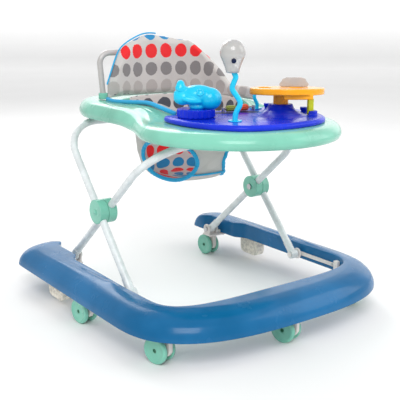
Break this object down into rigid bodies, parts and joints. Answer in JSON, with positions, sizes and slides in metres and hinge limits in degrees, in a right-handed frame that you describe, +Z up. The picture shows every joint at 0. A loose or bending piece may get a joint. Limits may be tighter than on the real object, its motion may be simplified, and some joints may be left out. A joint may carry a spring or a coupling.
{
  "type": "baby walker",
  "caption": "Folding baby walker: U-shaped base on casters, scissor legs, toy tray with a padded sling seat and a push handle.",
  "frame": {"origin": "centre of the footprint, on the floor", "axes": "+Z up, +Y from the toy tray to the push handle, +X to the walker's side"},
  "size_m": [0.62, 0.675, 0.588],
  "materials": {
    "base_blue": "gloss",
    "rail_white": "satin",
    "mint": "gloss",
    "wheel_core": "satin",
    "pad_beige": "matte",
    "steel": "satin",
    "tube_white": "gloss",
    "console_blue": "gloss",
    "whale_blue": "gloss",
    "orange": "gloss",
    "lime": "gloss",
    "smoke": "gloss",
    "bulb_grey": "gloss",
    "hoop_grey": "satin",
    "fabric": "woven",
    "olive": "gloss",
    "red_orange": "gloss"
  },
  "bodies": {
    "base": {"base_shell": "base_blue", "slide_rails": "rail_white", "rear_brackets": "rail_white", "rear_pivot_pins": "steel", "stopper_pads": "pad_beige", "pad_brackets": "rail_white", "caster_sockets": "base_blue", "base_screws": "steel"},
    "inner_frame": {"inner_tube": "tube_white", "inner_leg_ends": "rail_white", "hub_inner_halves": "mint", "hub_bolts": "steel"},
    "outer_frame": {"outer_tube": "tube_white", "outer_leg_ends": "rail_white", "hub_outer_halves": "mint", "hub_caps": "mint"},
    "feet": {"slide_feet": "rail_white"},
    "tray": {"tray_shell": "mint", "crossbar_saddles": "mint", "catch_racks": "mint", "console": "console_blue", "roller_axle": "steel", "stem_feet": "whale_blue", "push_handle": "hoop_grey", "hoop_collars": "mint", "seat_back": "fabric", "seat_sling": "fabric"},
    "whale_toy": {"whale_dial": "console_blue", "whale": "whale_blue"},
    "bulb_toy": {"bulb_stem": "whale_blue", "bulb": "bulb_grey", "bulb_button": "red_orange"},
    "twist_toy": {"twist_stem": "whale_blue"},
    "steering": {"steering_wheel": "orange", "steering_column": "orange", "windscreen": "smoke"},
    "paddle_toy": {"paddle": "lime"},
    "button_1": {"push_button_1": "console_blue"},
    "button_2": {"push_button_2": "console_blue"},
    "button_3": {"push_button_3": "console_blue"},
    "roller_1": {"roller_olive": "olive"},
    "roller_2": {"roller_orange": "red_orange"},
    "fork_front_left": {"caster_fork_front_left": "rail_white"},
    "wheel_front_left": {"caster_wheel_front_left": "mint", "caster_axle_front_left": "steel"},
    "fork_front_right": {"caster_fork_front_right": "rail_white"},
    "wheel_front_right": {"caster_wheel_front_right": "mint", "caster_axle_front_right": "steel"},
    "fork_front_centre": {"caster_fork_front_centre": "rail_white"},
    "wheel_front_centre": {"caster_wheel_front_centre": "mint", "caster_axle_front_centre": "steel"},
    "fork_side_left": {"caster_fork_side_left": "rail_white"},
    "wheel_side_left": {"caster_wheel_side_left": "mint", "caster_axle_side_left": "steel"},
    "fork_rear_left": {"caster_fork_rear_left": "rail_white"},
    "wheel_rear_left": {"caster_wheel_rear_left": "mint", "caster_axle_rear_left": "steel"},
    "fork_rear_right": {"caster_fork_rear_right": "rail_white"},
    "wheel_rear_right": {"caster_wheel_rear_right": "mint", "caster_axle_rear_right": "steel"}
  },
  "joints": [
    {"name": "fold", "type": "hinge", "parent": "base", "child": "inner_frame", "pos_m": [0, 0.234, 0.076], "axis": [1, 0, 0], "range_deg": [0, 28]},
    {"name": "scissor_hub", "type": "hinge", "parent": "inner_frame", "child": "outer_frame", "pos_m": [0, 0.064, 0.221], "axis": [1, 0, 0], "range_deg": [-63, 1]},
    {"name": "foot_pivot", "type": "hinge", "parent": "outer_frame", "child": "feet", "pos_m": [0, -0.063, 0.077], "axis": [1, 0, 0], "range_deg": [-1, 35]},
    {"name": "tray_pivot", "type": "hinge", "parent": "outer_frame", "child": "tray", "pos_m": [0, 0.214, 0.39108], "axis": [1, 0, 0], "range_deg": [-1, 35]},
    {"name": "swivel_front_left", "type": "hinge", "parent": "base", "child": "fork_front_left", "pos_m": [-0.253, -0.248, 0.06], "axis": [0, 0, 1], "continuous": true},
    {"name": "roll_front_left", "type": "hinge", "parent": "fork_front_left", "child": "wheel_front_left", "pos_m": [-0.25934, -0.22589, 0.0265], "axis": [0.9613, 0.2756, 0], "continuous": true},
    {"name": "swivel_front_right", "type": "hinge", "parent": "base", "child": "fork_front_right", "pos_m": [0.253, -0.248, 0.06], "axis": [0, 0, 1], "continuous": true},
    {"name": "roll_front_right", "type": "hinge", "parent": "fork_front_right", "child": "wheel_front_right", "pos_m": [0.24666, -0.22589, 0.0265], "axis": [0.9613, 0.2756, 0], "continuous": true},
    {"name": "swivel_front_centre", "type": "hinge", "parent": "base", "child": "fork_front_centre", "pos_m": [0, -0.314, 0.06], "axis": [0, 0, 1], "continuous": true},
    {"name": "roll_front_centre", "type": "hinge", "parent": "fork_front_centre", "child": "wheel_front_centre", "pos_m": [-0.00634, -0.29189, 0.0265], "axis": [0.9613, 0.2756, 0], "continuous": true},
    {"name": "swivel_side_left", "type": "hinge", "parent": "base", "child": "fork_side_left", "pos_m": [-0.28, 0.004, 0.06], "axis": [0, 0, 1], "continuous": true},
    {"name": "roll_side_left", "type": "hinge", "parent": "fork_side_left", "child": "wheel_side_left", "pos_m": [-0.2832, 0.02678, 0.0265], "axis": [0.9903, 0.1392, 0], "continuous": true},
    {"name": "swivel_rear_left", "type": "hinge", "parent": "base", "child": "fork_rear_left", "pos_m": [-0.212, 0.236, 0.06], "axis": [0, 0, 1], "continuous": true},
    {"name": "roll_rear_left", "type": "hinge", "parent": "fork_rear_left", "child": "wheel_rear_left", "pos_m": [-0.2136, 0.25894, 0.0265], "axis": [0.9976, 0.0698, 0], "continuous": true},
    {"name": "swivel_rear_right", "type": "hinge", "parent": "base", "child": "fork_rear_right", "pos_m": [0.212, 0.236, 0.06], "axis": [0, 0, 1], "continuous": true},
    {"name": "roll_rear_right", "type": "hinge", "parent": "fork_rear_right", "child": "wheel_rear_right", "pos_m": [0.2104, 0.25894, 0.0265], "axis": [0.9976, 0.0698, 0], "continuous": true},
    {"name": "whale_turn", "type": "hinge", "parent": "tray", "child": "whale_toy", "pos_m": [-0.099, -0.118, 0.431], "axis": [0, 0, 1], "continuous": true},
    {"name": "bulb_sway", "type": "hinge", "parent": "tray", "child": "bulb_toy", "pos_m": [-0.074, -0.209, 0.431], "axis": [0.8101, -0.5863, 0], "range_deg": [-10, 10], "stiffness_Nm_per_rad": 1.5},
    {"name": "twist_sway", "type": "hinge", "parent": "tray", "child": "twist_toy", "pos_m": [0.086, -0.078, 0.431], "axis": [0.8101, -0.5863, 0], "range_deg": [-8, 8], "stiffness_Nm_per_rad": 0.5},
    {"name": "steer", "type": "hinge", "parent": "tray", "child": "steering", "pos_m": [0.062, -0.184, 0.435], "axis": [0.0256, 0.0353, 0.999], "range_deg": [-90, 90]},
    {"name": "paddle_flip", "type": "hinge", "parent": "tray", "child": "paddle_toy", "pos_m": [0.107, -0.222, 0.435], "axis": [1, 0, 0], "range_deg": [-8, 8], "stiffness_Nm_per_rad": 0.05},
    {"name": "press_1", "type": "slide", "parent": "tray", "child": "button_1", "axis": [0, 0, -1], "range_m": [0, 0.003], "stiffness_N_per_m": 150, "springref_m": -0.001},
    {"name": "press_2", "type": "slide", "parent": "tray", "child": "button_2", "axis": [0, 0, -1], "range_m": [0, 0.003], "stiffness_N_per_m": 150, "springref_m": -0.001},
    {"name": "press_3", "type": "slide", "parent": "tray", "child": "button_3", "axis": [0, 0, -1], "range_m": [0, 0.003], "stiffness_N_per_m": 150, "springref_m": -0.001},
    {"name": "roller_1_spin", "type": "hinge", "parent": "tray", "child": "roller_1", "pos_m": [0.006, -0.094, 0.4385], "axis": [1, 0, 0], "continuous": true},
    {"name": "roller_2_spin", "type": "hinge", "parent": "tray", "child": "roller_2", "pos_m": [0.038, -0.094, 0.4385], "axis": [1, 0, 0], "continuous": true}
  ],
  "couplings": [
    {"joint": "scissor_hub", "follows": "fold", "ratio": -2.2392},
    {"joint": "foot_pivot", "follows": "fold", "ratio": 1.2392},
    {"joint": "tray_pivot", "follows": "fold", "ratio": 1.2392}
  ]
}
